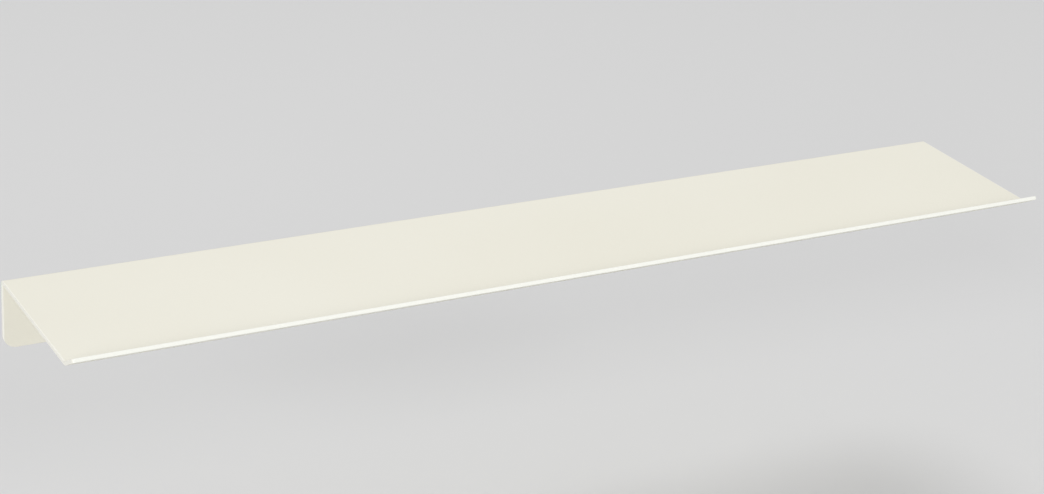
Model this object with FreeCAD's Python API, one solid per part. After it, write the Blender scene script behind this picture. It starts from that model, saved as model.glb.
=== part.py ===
import FreeCAD, Part
import math
import os

# A wall shelf folded from one steel sheet: a flat top plate, a flange that is
# folded down along the back and lies against the wall, and a short lip that is
# bent up and leans outward along the front. Screws with washers and nylon wall
# plugs hold the flange. Millimetres. X runs along the shelf, +Y goes into the
# wall, +Z is up. The origin is on the wall side of the flange, at the middle of
# its length and height.

# Folded sheet
shelf_length = 800.0
shelf_depth = 150.0
sheet_thickness = 3.0
flange_height = 53.0
flange_corner_radius = 10.0
back_bend_inner_radius = 0.5
lip_width = 18.0
lip_angle = 31.0
lip_bend_inner_radius = 3.0
lip_corner_radius = 2.0
coat_edge_radius = 0.5

# Fixings
fixing_count = 4
fixing_end_distance = 70.0
fixing_height = 0.0
thread_diameter = 4.5
flange_hole_clearance = 0.5
washer_diameter = 12.0
washer_thickness = 1.2
washer_bore_clearance = 0.4
washer_edge_radius = 0.25

# Screw
screw_length = 40.0
head_diameter = 9.0
head_height = 3.4
head_edge_height = 1.1
recess_span = 5.2
recess_depth = 2.3
recess_slot_width = 1.0
recess_bottom_scale = 0.35
thread_core_diameter = 3.2
thread_pitch = 1.8
thread_crest = 0.2
plain_neck_length = 5.0
tip_length = 5.0

# Wall plug
plug_diameter = 8.0
plug_length = 40.0
plug_bore_clearance = 0.3
plug_sleeve_length = 10.0
plug_nose_length = 4.0
plug_nose_diameter = 5.6
plug_slot_width = 1.2
tooth_pitch = 3.0
tooth_depth = 0.7
fin_thickness = 0.8

# Working values that follow from the sizes above
top_z = flange_height / 2.0
lip_rad = math.radians(lip_angle)
lip_root_y = -(shelf_depth - lip_width * math.cos(lip_rad) - sheet_thickness * math.sin(lip_rad))
flange_face_y = -sheet_thickness
washer_face_y = flange_face_y - washer_thickness
thread_radius = thread_diameter / 2.0
core_radius = thread_core_diameter / 2.0
plug_radius = plug_diameter / 2.0


def fixing_positions():
    """X of each fixing, spread evenly between the two outer ones."""
    first = -shelf_length / 2.0 + fixing_end_distance
    pitch = (shelf_length - 2.0 * fixing_end_distance) / (fixing_count - 1)
    return [first + pitch * i for i in range(fixing_count)]


def yz(y, z):
    """A point of the shelf's cross-section."""
    return FreeCAD.Vector(0.0, y, z)


def arc_edge(centre, radius, start_angle, middle_angle, end_angle):
    """An arc of the cross-section; angles in degrees from +Y towards +Z."""
    points = []
    for angle in (start_angle, middle_angle, end_angle):
        a = math.radians(angle)
        points.append(yz(centre[0] + radius * math.cos(a), centre[1] + radius * math.sin(a)))
    return Part.Arc(points[0], points[1], points[2]).toShape()


def edge_start(edge):
    return edge.valueAt(edge.FirstParameter)


def edge_end(edge):
    return edge.valueAt(edge.LastParameter)


def shelf_section():
    """The folded sheet's cross-section: flange, back bend, plate, lip bend and lip."""
    back_outer_radius = back_bend_inner_radius + sheet_thickness
    back_centre = (-back_outer_radius, top_z - back_outer_radius)
    outer_back = arc_edge(back_centre, back_outer_radius, 0.0, 45.0, 90.0)
    inner_back = arc_edge(back_centre, back_bend_inner_radius, 90.0, 45.0, 0.0)

    lip_outer_radius = lip_bend_inner_radius + sheet_thickness
    setback = lip_bend_inner_radius * math.tan(lip_rad / 2.0)
    lip_centre = (lip_root_y + setback, top_z + lip_bend_inner_radius)
    lip_end = 270.0 - lip_angle
    lip_middle = 270.0 - lip_angle / 2.0
    lip_upper = arc_edge(lip_centre, lip_bend_inner_radius, 270.0, lip_middle, lip_end)
    lip_lower = arc_edge(lip_centre, lip_outer_radius, lip_end, lip_middle, 270.0)

    tip_upper = yz(lip_root_y - lip_width * math.cos(lip_rad), top_z + lip_width * math.sin(lip_rad))
    tip_lower = tip_upper - yz(sheet_thickness * math.sin(lip_rad), sheet_thickness * math.cos(lip_rad))
    foot_wall = yz(0.0, -flange_height / 2.0)
    foot_room = yz(flange_face_y, -flange_height / 2.0)

    edges = [
        Part.LineSegment(foot_wall, edge_start(outer_back)).toShape(),
        outer_back,
        Part.LineSegment(edge_end(outer_back), edge_start(lip_upper)).toShape(),
        lip_upper,
        Part.LineSegment(edge_end(lip_upper), tip_upper).toShape(),
        Part.LineSegment(tip_upper, tip_lower).toShape(),
        Part.LineSegment(tip_lower, edge_start(lip_lower)).toShape(),
        lip_lower,
        Part.LineSegment(edge_end(lip_lower), edge_start(inner_back)).toShape(),
        inner_back,
        Part.LineSegment(edge_end(inner_back), foot_room).toShape(),
        Part.LineSegment(foot_room, foot_wall).toShape(),
    ]
    return Part.Face(Part.Wire(edges))


def short_edges(shape, low_z, high_z, direction):
    """Edges across the sheet at its two ends, within a band of heights."""
    found = []
    for edge in shape.Edges:
        if len(edge.Vertexes) != 2:
            continue
        run = edge.Vertexes[1].Point - edge.Vertexes[0].Point
        middle = (edge.Vertexes[1].Point + edge.Vertexes[0].Point) * 0.5
        at_end = abs(abs(middle.x) - shelf_length / 2.0) < 0.001
        across = abs(run.Length - sheet_thickness) < 0.001
        along = abs(abs(run.dot(direction)) - sheet_thickness) < 0.001
        if at_end and across and along and low_z < middle.z < high_z:
            found.append(edge)
    return found


def is_outline_edge(edge):
    """True on an edge of the sheet's cut outline, false on the lines of its bends."""
    box = edge.BoundBox
    if box.XMin > -shelf_length / 2.0 + 0.001 and box.XMax < shelf_length / 2.0 - 0.001:
        runs_along = box.XLength > shelf_length / 2.0
        at_foot = box.ZMax < -flange_height / 2.0 + 0.001
        at_tip = box.YMax < -shelf_depth + sheet_thickness
        return runs_along and (at_foot or at_tip)
    if box.XLength > shelf_length / 2.0:
        return False
    middle = edge.valueAt((edge.FirstParameter + edge.LastParameter) / 2.0)
    crosses_sheet = edge.Length < sheet_thickness + 0.001 and box.XLength < 0.001
    return not crosses_sheet and abs(middle.x) > shelf_length / 2.0 - flange_corner_radius


def shelf_body():
    """One folded sheet with rounded corners, softened cut edges and screw holes."""
    body = shelf_section().extrude(FreeCAD.Vector(shelf_length, 0.0, 0.0))
    body.translate(FreeCAD.Vector(-shelf_length / 2.0, 0.0, 0.0))

    across_flange = FreeCAD.Vector(0.0, 1.0, 0.0)
    across_lip = FreeCAD.Vector(0.0, math.sin(lip_rad), math.cos(lip_rad))
    foot_edges = short_edges(body, -flange_height, -flange_height / 2.0 + 0.001, across_flange)
    body = body.makeFillet(flange_corner_radius, foot_edges)
    tip_edges = short_edges(body, top_z, top_z + lip_width, across_lip)
    body = body.makeFillet(lip_corner_radius, tip_edges)

    outline = [edge for edge in body.Edges if is_outline_edge(edge)]
    body = body.makeFillet(coat_edge_radius, outline)

    hole_radius = (thread_diameter + flange_hole_clearance) / 2.0
    for x in fixing_positions():
        start = FreeCAD.Vector(x, flange_face_y - 1.0, fixing_height)
        body = body.cut(Part.makeCylinder(hole_radius, sheet_thickness + 2.0, start, FreeCAD.Vector(0, 1, 0)))
    return body


def turned(outline, x):
    """A solid turned about a fixing's axis; the outline holds (radius, y) pairs."""
    points = [FreeCAD.Vector(x + r, y, fixing_height) for r, y in outline]
    points.append(points[0])
    face = Part.Face(Part.makePolygon(points))
    axis_point = FreeCAD.Vector(x, 0.0, fixing_height)
    return face.revolve(axis_point, FreeCAD.Vector(0.0, 1.0, 0.0), 360.0)


def cross_recess(x, mouth_y):
    """The tapering cross that a driver enters, sunk from the top of the head."""
    limbs = None
    for turn in (0.0, 90.0):
        wires = []
        for depth, scale in ((-0.5, 1.0), (0.0, 1.0), (recess_depth, recess_bottom_scale)):
            half = recess_span / 2.0 * scale
            wide = recess_slot_width / 2.0 * (0.5 + 0.5 * scale)
            y = mouth_y + depth
            corners = [
                FreeCAD.Vector(x - half, y, fixing_height - wide),
                FreeCAD.Vector(x + half, y, fixing_height - wide),
                FreeCAD.Vector(x + half, y, fixing_height + wide),
                FreeCAD.Vector(x - half, y, fixing_height + wide),
            ]
            wires.append(Part.makePolygon(corners + [corners[0]]))
        limb = Part.makeLoft(wires, True, True)
        limb.rotate(FreeCAD.Vector(x, 0.0, fixing_height), FreeCAD.Vector(0, 1, 0), turn)
        limbs = limb if limbs is None else limbs.fuse(limb)
    return limbs


def screw(x):
    """A pan-head screw: domed head with a cross recess, plain neck, thread and point."""
    seat_y = washer_face_y
    top_y = seat_y - head_height
    head_radius = head_diameter / 2.0
    dome_height = head_height - head_edge_height
    dome_radius = (head_radius ** 2 + dome_height ** 2) / (2.0 * dome_height)
    ball = Part.makeSphere(dome_radius, FreeCAD.Vector(x, top_y + dome_radius, fixing_height))
    drum = Part.makeCylinder(
        head_radius, head_height, FreeCAD.Vector(x, top_y, fixing_height), FreeCAD.Vector(0, 1, 0))
    head = drum.common(ball)
    head = head.cut(cross_recess(x, top_y))

    end_y = seat_y + screw_length
    outline = [(0.0, seat_y - 0.2), (thread_radius, seat_y - 0.2), (thread_radius, seat_y + plain_neck_length)]
    y = seat_y + plain_neck_length + thread_pitch / 4.0
    outline.append((core_radius, y))
    while y + thread_pitch < end_y - tip_length:
        outline.append((core_radius, y + thread_pitch * 0.3))
        outline.append((thread_radius, y + thread_pitch * 0.65 - thread_crest / 2.0))
        outline.append((thread_radius, y + thread_pitch * 0.65 + thread_crest / 2.0))
        outline.append((core_radius, y + thread_pitch))
        y += thread_pitch
    outline.append((core_radius, end_y - tip_length))
    outline.append((0.15, end_y))
    outline.append((0.0, end_y))
    shank = turned(outline, x)
    return head.fuse(shank).removeSplitter()


def washer(x):
    """A flat washer with its punched edges rounded, between the screw head and the flange."""
    outer = washer_diameter / 2.0
    inner = (thread_diameter + washer_bore_clearance) / 2.0
    disc = Part.makeCylinder(
        outer, washer_thickness, FreeCAD.Vector(x, washer_face_y, fixing_height), FreeCAD.Vector(0, 1, 0))
    rims = [edge for edge in disc.Edges if edge.Closed and edge.BoundBox.YLength < 0.001]
    disc = disc.makeFillet(washer_edge_radius, rims)
    bore = Part.makeCylinder(
        inner, washer_thickness + 2.0, FreeCAD.Vector(x, washer_face_y - 1.0, fixing_height),
        FreeCAD.Vector(0, 1, 0))
    return disc.cut(bore)


def plug_outline():
    """Radius and y along the plug: plain sleeve, saw teeth and tapered nose."""
    outline = [(0.0, 0.0), (plug_radius, 0.0), (plug_radius, plug_sleeve_length)]
    y = plug_sleeve_length
    while y + tooth_pitch <= plug_length - plug_nose_length:
        outline.append((plug_radius - tooth_depth, y))
        outline.append((plug_radius, y + tooth_pitch))
        y += tooth_pitch
    outline.append((plug_radius - tooth_depth, y))
    outline.append((plug_radius - tooth_depth, plug_length - plug_nose_length))
    outline.append((plug_nose_diameter / 2.0, plug_length))
    outline.append((0.0, plug_length))
    return outline


def wall_plug(x):
    """A nylon plug: plain sleeve at the wall face, toothed halves parted by a slit, two ridges."""
    plug = turned(plug_outline(), x)
    toothed_length = plug_length - plug_nose_length - plug_sleeve_length
    fin_reach = math.sqrt(plug_radius ** 2 - (fin_thickness / 2.0) ** 2)
    fins = Part.makeBox(2.0 * fin_reach, toothed_length, fin_thickness)
    fins.translate(FreeCAD.Vector(x - fin_reach, plug_sleeve_length, fixing_height - fin_thickness / 2.0))
    plug = plug.fuse(fins)
    slit = Part.makeBox(plug_slot_width, toothed_length, plug_diameter + 2.0)
    slit.translate(FreeCAD.Vector(
        x - plug_slot_width / 2.0, plug_sleeve_length, fixing_height - plug_radius - 1.0))
    plug = plug.cut(slit)
    bore_radius = (thread_diameter + plug_bore_clearance) / 2.0
    bore = Part.makeCylinder(
        bore_radius, plug_length + 2.0, FreeCAD.Vector(x, -1.0, fixing_height), FreeCAD.Vector(0, 1, 0))
    return plug.cut(bore)


def export(name, shape):
    """Write one node as a STEP file."""
    solids = shape.Solids
    if len(solids) != 1 or not shape.isValid():
        raise RuntimeError(name + " is not one valid solid")
    solids[0].exportStep(os.path.join("parts", name + ".step"))


os.makedirs("parts", exist_ok=True)
export("shelf_body", shelf_body())
for number, fixing_x in enumerate(fixing_positions(), start=1):
    export("screw_%d" % number, screw(fixing_x))
    export("washer_%d" % number, washer(fixing_x))
    export("wall_plug_%d" % number, wall_plug(fixing_x))
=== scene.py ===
import math
import bmesh
import bpy
from mathutils import Matrix, Vector


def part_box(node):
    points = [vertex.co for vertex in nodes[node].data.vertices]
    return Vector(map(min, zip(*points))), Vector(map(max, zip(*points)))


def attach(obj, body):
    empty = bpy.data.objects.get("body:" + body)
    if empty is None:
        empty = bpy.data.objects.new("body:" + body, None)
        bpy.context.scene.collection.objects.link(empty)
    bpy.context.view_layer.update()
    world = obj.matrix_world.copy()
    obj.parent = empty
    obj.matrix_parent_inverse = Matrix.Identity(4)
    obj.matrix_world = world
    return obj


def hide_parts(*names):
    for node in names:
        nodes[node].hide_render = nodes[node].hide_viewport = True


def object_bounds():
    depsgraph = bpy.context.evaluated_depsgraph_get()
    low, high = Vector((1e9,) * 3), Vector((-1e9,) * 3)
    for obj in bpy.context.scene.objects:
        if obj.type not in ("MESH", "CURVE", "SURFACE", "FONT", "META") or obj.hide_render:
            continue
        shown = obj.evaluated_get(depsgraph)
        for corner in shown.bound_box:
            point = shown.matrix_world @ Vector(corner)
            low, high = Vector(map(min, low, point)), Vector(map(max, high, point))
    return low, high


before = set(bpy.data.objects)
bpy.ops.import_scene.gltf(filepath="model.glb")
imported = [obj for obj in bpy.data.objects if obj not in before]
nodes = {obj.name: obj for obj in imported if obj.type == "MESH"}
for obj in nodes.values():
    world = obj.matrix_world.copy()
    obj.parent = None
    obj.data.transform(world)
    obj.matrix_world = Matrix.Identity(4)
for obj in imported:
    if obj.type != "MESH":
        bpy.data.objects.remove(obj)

cad_low, cad_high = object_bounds()

# ---------------------------------------------------------------- folded sheet
# One sheet of 3 mm steel is folded down along the back to lie against the wall and
# bent up along the front into a short leaning lip. Its cut edges are deburred, then
# the whole sheet is sprayed with cream polyester powder and baked to a matte coat.


class Finish:
    """A surface finish: a material whose shader is fed by nodes added step by step."""

    def __init__(self, name):
        self.material = bpy.data.materials.new(name)
        self.material.use_nodes = True
        self.nodes = self.material.node_tree.nodes
        self.links = self.material.node_tree.links
        self.shader = self.nodes["Principled BSDF"]
        self.place = self.nodes.new("ShaderNodeTexCoord").outputs["Object"]

    def grain(self, cycles_per_metre, detail=2.0, roughness=0.5):
        """Cloudy variation through the piece."""
        texture = self.nodes.new("ShaderNodeTexNoise")
        texture.inputs["Scale"].default_value = cycles_per_metre
        texture.inputs["Detail"].default_value = detail
        texture.inputs["Roughness"].default_value = roughness
        self.links.new(self.place, texture.inputs["Vector"])
        return texture.outputs["Fac"]

    def specks(self, cycles_per_metre, size):
        """Sparse round specks: 1 in the middle of a speck, 0 outside it."""
        cells = self.nodes.new("ShaderNodeTexVoronoi")
        cells.inputs["Scale"].default_value = cycles_per_metre
        self.links.new(self.place, cells.inputs["Vector"])
        return self.spread(cells.outputs["Distance"], 0.0, size, 1.0, 0.0)

    def spread(self, value, low, high, to_low, to_high):
        """Maps low..high to to_low..to_high and holds the ends."""
        remap = self.nodes.new("ShaderNodeMapRange")
        remap.inputs["From Min"].default_value = low
        remap.inputs["From Max"].default_value = high
        remap.inputs["To Min"].default_value = to_low
        remap.inputs["To Max"].default_value = to_high
        self.links.new(value, remap.inputs["Value"])
        return remap.outputs["Result"]

    def sum_up(self, operation, first, second):
        """Joins two values, or a value and a plain number, by ADD, MULTIPLY, MAXIMUM and so on."""
        joint = self.nodes.new("ShaderNodeMath")
        joint.operation = operation
        for socket, value in zip(joint.inputs, (first, second)):
            if isinstance(value, float):
                socket.default_value = value
            else:
                self.links.new(value, socket)
        return joint.outputs[0]

    def along(self, direction):
        """How far a point lies along a direction, in metres from the origin."""
        reach = self.nodes.new("ShaderNodeVectorMath")
        reach.operation = "DOT_PRODUCT"
        reach.inputs[1].default_value = direction
        self.links.new(self.place, reach.inputs[0])
        return reach.outputs["Value"]

    def tint(self, factor, first, second):
        """Goes from the first colour to the second; each is an (r, g, b) value or a socket."""
        mix = self.nodes.new("ShaderNodeMix")
        mix.data_type = "RGBA"
        self.links.new(factor, mix.inputs["Factor"])
        for socket, colour in ((mix.inputs["A"], first), (mix.inputs["B"], second)):
            if isinstance(colour, tuple):
                socket.default_value = (*colour, 1.0)
            else:
                self.links.new(colour, socket)
        return mix.outputs["Result"]

    def relief(self, height, depth, below=None):
        """Raises the surface by height over a depth in metres, on top of an earlier relief."""
        bump = self.nodes.new("ShaderNodeBump")
        bump.inputs["Distance"].default_value = depth
        self.links.new(height, bump.inputs["Height"])
        if below is not None:
            self.links.new(below, bump.inputs["Normal"])
        return bump.outputs["Normal"]

    def apply(self, colour, roughness, normal):
        """Connects the finished colour, roughness and relief to the shader."""
        self.links.new(colour, self.shader.inputs["Base Color"])
        self.links.new(roughness, self.shader.inputs["Roughness"])
        self.links.new(normal, self.shader.inputs["Normal"])


def coat_node(name, finish):
    """Gives a CAD node's surface its finish."""
    for material_slot in nodes[name].material_slots:
        material_slot.material = finish.material


sheet_low, sheet_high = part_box("shelf_body")
sheet_thickness = 0.003
lip_angle = math.radians(31.0)
cream = (0.838, 0.819, 0.724)
cream_warm = (0.818, 0.796, 0.694)
speck_colour = (0.700, 0.665, 0.570)
# Less warm tint on the lip's cut edge: partly thin powder, partly a painted highlight.
lip_thin_coat_and_highlight = (0.802, 0.806, 0.750)
# Paler tint on the two cut ends: partly thin, rubbed powder, partly a painted highlight.
ends_thin_coat_and_highlight = (0.880, 0.866, 0.790)
edge_mark_from = 0.0012
edge_mark_to = 0.0002

powder = Finish("cream_powder_coat")
drift = powder.spread(powder.grain(3.0, detail=3.0), 0.35, 0.65, 0.0, 1.0)
coat_colour = powder.tint(drift, cream, cream_warm)
coat_colour = powder.tint(powder.specks(85.0, 0.028), coat_colour, speck_colour)
matte = powder.spread(powder.grain(240.0), 0.3, 0.7, 0.50, 0.60)
# Along the lip and at the two ends of the sheet, the colour of the cut edges turns less warm. Part of
# this is the thin powder there, which hands and cloths have rubbed smoother. Part of it is a painted
# highlight that stands in for the light these edges catch.
lip_way = (0.0, -math.cos(lip_angle), math.sin(lip_angle))
lip_corner = Vector((0.0, sheet_low.y + sheet_thickness * math.sin(lip_angle), sheet_high.z))
along_lip = powder.along(lip_way)
along_shelf = powder.sum_up("ABSOLUTE", powder.along((1.0, 0.0, 0.0)), 0.0)
ragged = powder.spread(powder.grain(90.0, detail=3.0, roughness=0.6), 0.3, 0.7, -0.0004, 0.0004)
cut_edges = (
    (along_lip, lip_corner.dot(lip_way), lip_thin_coat_and_highlight),
    (along_shelf, sheet_high.x, ends_thin_coat_and_highlight),
)
# Each cut edge takes its tint over a ragged band: partly thin powder, partly a painted highlight.
for distance, edge, thin_coat_and_highlight_colour in cut_edges:
    uneven = powder.sum_up("ADD", distance, ragged)
    thin_coat_and_highlight = powder.spread(uneven, edge - edge_mark_from, edge - edge_mark_to, 0.0, 1.0)
    coat_colour = powder.tint(thin_coat_and_highlight, coat_colour, thin_coat_and_highlight_colour)
    matte = powder.sum_up("SUBTRACT", matte, powder.sum_up("MULTIPLY", thin_coat_and_highlight, 0.08))
peel = powder.relief(powder.grain(420.0, detail=1.0), 0.00007)
peel = powder.relief(powder.grain(1700.0, roughness=0.6), 0.00003, peel)
powder.apply(coat_colour, matte, peel)
powder.shader.inputs["Specular IOR Level"].default_value = 0.42
coat_node("shelf_body", powder)

# ---------------------------------------------------------------- screws
# Pan-head screws, 4.5 by 40 mm: the head and its cross recess are pressed, the thread
# is rolled on the steel wire and the whole screw is zinc plated. They pull the flange
# against the wall and are driven until tight, so each cross ends at its own angle.
head_radius = 0.0045
head_height = 0.0034
head_edge_height = 0.0011
head_edge_round = 0.0002
neck_radius = 0.00222
neck_length = 0.005
neck_shoulder = 0.0005
core_radius = 0.0016
thread_pitch = 0.0018
tip_length = 0.005
point_radius = 0.00015
recess_depth = 0.0023
recess_span = 0.0052
recess_slot = 0.0010
recess_mouth = 1.13
recess_bottom = 0.35
cutter_overrun = 0.0006
around = 48
dome_steps = 14


def ring(mesh, radius, y):
    """A ring of points about the Y axis."""
    angles = [2.0 * math.pi * step / around for step in range(around)]
    return [mesh.verts.new((radius * math.cos(a), y, radius * math.sin(a))) for a in angles]


def skin(mesh, rings):
    """Faces between each ring and the next."""
    for first, second in zip(rings, rings[1:]):
        for step in range(around):
            after = (step + 1) % around
            mesh.faces.new((first[step], first[after], second[after], second[step]))


def cap(mesh, points, y, outward):
    """Closes a ring with a fan to one point on the axis."""
    middle = mesh.verts.new((0.0, y, 0.0))
    for step in range(around):
        after = (step + 1) % around
        pair = (points[after], points[step]) if outward else (points[step], points[after])
        mesh.faces.new((*pair, middle))


def finished_mesh(name, mesh, sharp_angle):
    """Turns the worked-up mesh into Blender's own, smooth but for its sharp edges."""
    bmesh.ops.remove_doubles(mesh, verts=mesh.verts, dist=1e-7)
    bmesh.ops.recalc_face_normals(mesh, faces=mesh.faces)
    made = bpy.data.meshes.new(name)
    mesh.to_mesh(made)
    mesh.free()
    made.polygons.foreach_set("use_smooth", [True] * len(made.polygons))
    made.set_sharp_from_angle(angle=math.radians(sharp_angle))
    return made


def thread(mesh, start, end):
    """The rolled thread: one ridge that winds from start to end and fades out at both."""
    # Along one turn: root, foot of the ridge, its two crest edges, foot again.
    ridge = ((0.00, 0.0), (0.35, 0.0), (0.58, 1.0), (0.72, 1.0), (0.95, 0.0))
    turns = math.ceil((end - start) / thread_pitch) + 1
    lines = [(turn + part, height) for turn in range(-1, turns) for part, height in ridge]
    columns = []
    for step in range(around):
        lead = step / around
        column = []
        for turn, height in lines:
            y = min(max(start + (turn + lead) * thread_pitch, start), end)
            to_tip = (end - y) / tip_length
            core = core_radius * min(to_tip, 1.0) + point_radius * max(1.0 - to_tip, 0.0)
            fade = min((y - start) / thread_pitch, (end - y) / (2.5 * thread_pitch), 1.0)
            radius = core + (neck_radius - core_radius) * height * max(fade, 0.0)
            angle = 2.0 * math.pi * lead
            column.append(mesh.verts.new((radius * math.cos(angle), y, radius * math.sin(angle))))
        columns.append(column)
    # The last column meets the first one turn further along.
    columns.append(columns[0][len(ridge):])
    for step in range(around):
        beside = columns[step + 1]
        for line in range(min(len(columns[step]), len(beside)) - 1):
            mesh.faces.new((columns[step][line], beside[line], beside[line + 1], columns[step][line + 1]))


def cross_cutters():
    """The two limbs of the driver's cross, tapering as they go down into the head."""
    limbs = []
    for turn in (0.0, math.pi / 2.0):
        mesh = bmesh.new()
        levels = []
        for y, scale in ((-cutter_overrun, recess_mouth), (recess_depth, recess_bottom)):
            half = recess_span / 2.0 * scale
            wide = recess_slot / 2.0 * (0.5 + 0.5 * scale)
            corners = ((-half, -wide), (half, -wide), (half, wide), (-half, wide))
            levels.append([mesh.verts.new((x, y - head_height, z)) for x, z in corners])
        mesh.faces.new(levels[0])
        mesh.faces.new(reversed(levels[1]))
        for step in range(4):
            after = (step + 1) % 4
            mesh.faces.new((levels[0][step], levels[1][step], levels[1][after], levels[0][after]))
        bmesh.ops.rotate(mesh, verts=mesh.verts, cent=(0, 0, 0), matrix=Matrix.Rotation(turn, 3, "Y"))
        limb = bpy.data.objects.new("limb", finished_mesh("limb", mesh, 30.0))
        bpy.context.scene.collection.objects.link(limb)
        limbs.append(limb)
    return limbs


def screw_mesh(length):
    """One screw about the Y axis, the underside of its head at y = 0 and its point at length."""
    mesh = bmesh.new()
    dome_height = head_height - head_edge_height
    dome_radius = (head_radius ** 2 + dome_height ** 2) / (2.0 * dome_height)
    dome_reach = math.asin(head_radius / dome_radius)
    profile = []
    for step in range(1, dome_steps + 1):
        angle = dome_reach * step / (dome_steps + 0.5)
        depth = dome_radius * (1.0 - math.cos(angle))
        profile.append((dome_radius * math.sin(angle), depth - head_height))
    profile.append((head_radius - head_edge_round / 5.0, -head_edge_height))
    profile.append((head_radius, -head_edge_height + head_edge_round))
    profile.append((head_radius, -head_edge_round))
    profile.append((head_radius - head_edge_round, 0.0))
    profile.append((neck_radius, 0.0))
    profile.append((neck_radius, neck_length - neck_shoulder))
    profile.append((core_radius, neck_length))
    rings = [ring(mesh, radius, y) for radius, y in profile]
    skin(mesh, rings)
    cap(mesh, rings[0], -head_height, True)
    thread(mesh, neck_length, length)
    cap(mesh, ring(mesh, point_radius, length), length, False)
    solid = bpy.data.objects.new("screw_blank", finished_mesh("screw_blank", mesh, 40.0))
    bpy.context.scene.collection.objects.link(solid)
    limbs = cross_cutters()
    for limb in limbs:
        cut = solid.modifiers.new("recess", "BOOLEAN")
        cut.operation = "DIFFERENCE"
        cut.solver = "EXACT"
        cut.object = limb
    ready = solid.evaluated_get(bpy.context.evaluated_depsgraph_get())
    made = bpy.data.meshes.new_from_object(ready)
    made.set_sharp_from_angle(angle=math.radians(35.0))
    for spare in (solid, *limbs):
        bpy.data.objects.remove(spare)
    return made


def place_piece(name, mesh, finish, node):
    """Adds a made piece to the shelf in place of its CAD node."""
    mesh.materials.clear()
    mesh.materials.append(finish.material)
    piece = bpy.data.objects.new(name, mesh)
    bpy.context.scene.collection.objects.link(piece)
    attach(piece, "root")
    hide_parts(node)


zinc = Finish("zinc_plate")
cloud = zinc.spread(zinc.grain(260.0, detail=3.0, roughness=0.6), 0.35, 0.7, 0.0, 1.0)
zinc_colour = zinc.tint(cloud, (0.60, 0.61, 0.63), (0.70, 0.69, 0.64))
zinc_shine = zinc.spread(zinc.grain(900.0, detail=3.0, roughness=0.6), 0.3, 0.7, 0.24, 0.42)
zinc.apply(zinc_colour, zinc_shine, zinc.relief(zinc.grain(2200.0), 0.00002))
zinc.shader.inputs["Metallic"].default_value = 1.0

fixing_numbers = range(1, 1 + len([name for name in nodes if name.startswith("screw_")]))
first_low, first_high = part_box("screw_1")
one_screw = screw_mesh(first_high.y - first_low.y - head_height)
first_angle = 20.0
angle_between = 67.0
for number in fixing_numbers:
    low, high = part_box(f"screw_{number}")
    driven = Matrix.Rotation(math.radians(first_angle + angle_between * number), 4, "Y")
    seat = Vector(((low.x + high.x) / 2.0, low.y + head_height, (low.z + high.z) / 2.0))
    own_mesh = one_screw.copy()
    own_mesh.transform(Matrix.Translation(seat) @ driven)
    place_piece(f"driven_screw_{number}", own_mesh, zinc, f"screw_{number}")

# ---------------------------------------------------------------- washers
# Flat washers punched from zinc-plated strip: the punch rolls the edges over on the
# side it enters, turned to the screw head, and leaves them crisp on the other.
roll_over = 0.00032
crisp_edge = 0.00006
washer_bore = 0.00245
roll_steps = 6


def washer_mesh(low, high):
    """One washer within its CAD node's box."""
    mesh = bmesh.new()
    outer = (high.x - low.x) / 2.0
    front = low.y
    back = high.y
    profile = [(washer_bore, front + roll_over), (washer_bore + roll_over, front)]
    for step in range(roll_steps):
        angle = math.pi / 2.0 * step / (roll_steps - 1)
        profile.append((
            outer - roll_over + roll_over * math.sin(angle),
            front + roll_over - roll_over * math.cos(angle),
        ))
    profile.append((outer, back - crisp_edge))
    profile.append((outer - crisp_edge, back))
    profile.append((washer_bore + crisp_edge, back))
    profile.append((washer_bore, back - crisp_edge))
    rings = [ring(mesh, radius, y) for radius, y in profile]
    skin(mesh, rings + rings[:1])
    made = finished_mesh("washer", mesh, 50.0)
    made.transform(Matrix.Translation(((low.x + high.x) / 2.0, 0.0, (low.z + high.z) / 2.0)))
    return made


for number in fixing_numbers:
    punched = washer_mesh(*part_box(f"washer_{number}"))
    place_piece(f"punched_washer_{number}", punched, zinc, f"washer_{number}")

# ---------------------------------------------------------------- wall plugs
# Nylon plugs, injection moulded with two toothed halves behind a plain sleeve. They
# sit in the wall and spread as the screws cut into them.
nylon = Finish("grey_nylon")
cloud = nylon.spread(nylon.grain(180.0, detail=3.0, roughness=0.6), 0.35, 0.7, 0.0, 1.0)
nylon_colour = nylon.tint(cloud, (0.145, 0.150, 0.155), (0.175, 0.180, 0.185))
nylon_matte = nylon.spread(nylon.grain(700.0, detail=3.0, roughness=0.6), 0.3, 0.7, 0.45, 0.60)
nylon.apply(nylon_colour, nylon_matte, nylon.relief(nylon.grain(1500.0), 0.00003))
for number in fixing_numbers:
    coat_node(f"wall_plug_{number}", nylon)

# ---------------------------------------------------------------- floor, light and camera
# A plain pale floor below the shelf, three wide soft lamps above and in front of it,
# and an even pale surround. The camera looks along the shelf from its left.
floor_drop = 0.22
floor_half = 14.0
floor_z = cad_low.z - floor_drop
floor_mesh = bpy.data.meshes.new("floor")
floor_corners = ((-1, -1), (1, -1), (1, 1), (-1, 1))
floor_points = [(x * floor_half, y * floor_half, floor_z) for x, y in floor_corners]
floor_mesh.from_pydata(floor_points, [], [(0, 1, 2, 3)])
floor = bpy.data.objects.new("floor", floor_mesh)
bpy.context.scene.collection.objects.link(floor)
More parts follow.
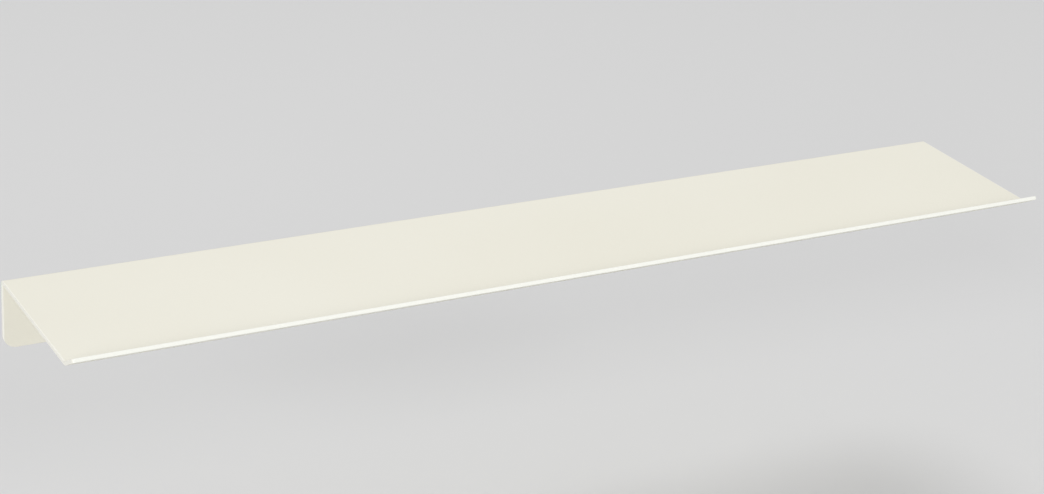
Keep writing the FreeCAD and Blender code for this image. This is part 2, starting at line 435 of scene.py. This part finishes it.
# The paint is seen from above only, so that the shelf can be looked at from below.
paint = Finish("floor_paint")
paint.shader.inputs["Base Color"].default_value = (0.69, 0.69, 0.69, 1.0)
paint.shader.inputs["Roughness"].default_value = 0.9
paint.shader.inputs["Specular IOR Level"].default_value = 0.1
clear = paint.nodes.new("ShaderNodeBsdfTransparent")
underneath = paint.nodes.new("ShaderNodeNewGeometry").outputs["Backfacing"]
one_sided = paint.nodes.new("ShaderNodeMixShader")
paint.links.new(underneath, one_sided.inputs["Fac"])
paint.links.new(paint.shader.outputs["BSDF"], one_sided.inputs[1])
paint.links.new(clear.outputs["BSDF"], one_sided.inputs[2])
paint.links.new(one_sided.outputs["Shader"], paint.nodes["Material Output"].inputs["Surface"])
floor_mesh.materials.append(paint.material)

surround = bpy.data.worlds.new("surround")
surround.use_nodes = True
sky_nodes = surround.node_tree.nodes
sky_links = surround.node_tree.links
sky_light = sky_nodes["Background"]
sky_light.inputs["Color"].default_value = (1.0, 1.0, 1.0, 1.0)
sky_light.inputs["Strength"].default_value = 0.57
sky_seen = sky_nodes.new("ShaderNodeBackground")
sky_seen.inputs["Color"].default_value = (0.62, 0.62, 0.62, 1.0)
rays = sky_nodes.new("ShaderNodeLightPath").outputs
seen = rays["Is Camera Ray"]
for kind in ("Is Glossy Ray", "Is Transmission Ray"):
    either = sky_nodes.new("ShaderNodeMath")
    either.operation = "MAXIMUM"
    sky_links.new(seen, either.inputs[0])
    sky_links.new(rays[kind], either.inputs[1])
    seen = either.outputs[0]
chosen = sky_nodes.new("ShaderNodeMixShader")
sky_links.new(seen, chosen.inputs["Fac"])
sky_links.new(sky_light.outputs["Background"], chosen.inputs[1])
sky_links.new(sky_seen.outputs["Background"], chosen.inputs[2])
sky_links.new(chosen.outputs["Shader"], sky_nodes["World Output"].inputs["Surface"])
bpy.context.scene.world = surround

# Each lamp: name, place in metres, diameter in metres, power in watts.
lamps = (
    ("left_lamp", (-6.20, -5.60, 3.00), 3.80, 345.0),
    ("right_lamp", (4.60, -7.00, 4.20), 3.50, 172.0),
    ("top_lamp", (0.40, 0.90, 4.60), 2.60, 53.0),
)
for name, stand, diameter, power in lamps:
    lamp_data = bpy.data.lights.new(name, "AREA")
    lamp_data.shape = "DISK"
    lamp_data.size = diameter
    lamp_data.energy = power
    lamp = bpy.data.objects.new(name, lamp_data)
    lamp.location = stand
    lamp.rotation_euler = (-lamp.location).to_track_quat("-Z", "Y").to_euler()
    bpy.context.scene.collection.objects.link(lamp)

camera_data = bpy.data.cameras.new("camera")
camera_data.sensor_width = 36.0
camera_data.lens = 83.28
camera = bpy.data.objects.new("camera", camera_data)
stand = Matrix.Translation((-0.85507, -1.48193, 0.75976))
turn = Matrix.Rotation(math.radians(-30.455), 4, "Z")
tilt = Matrix.Rotation(math.radians(90.0 - 24.219), 4, "X")
roll = Matrix.Rotation(math.radians(4.398), 4, "Z")
camera.matrix_world = stand @ turn @ tilt @ roll
bpy.context.scene.collection.objects.link(camera)
bpy.context.scene.camera = camera
bpy.context.scene.view_settings.view_transform = "Standard"
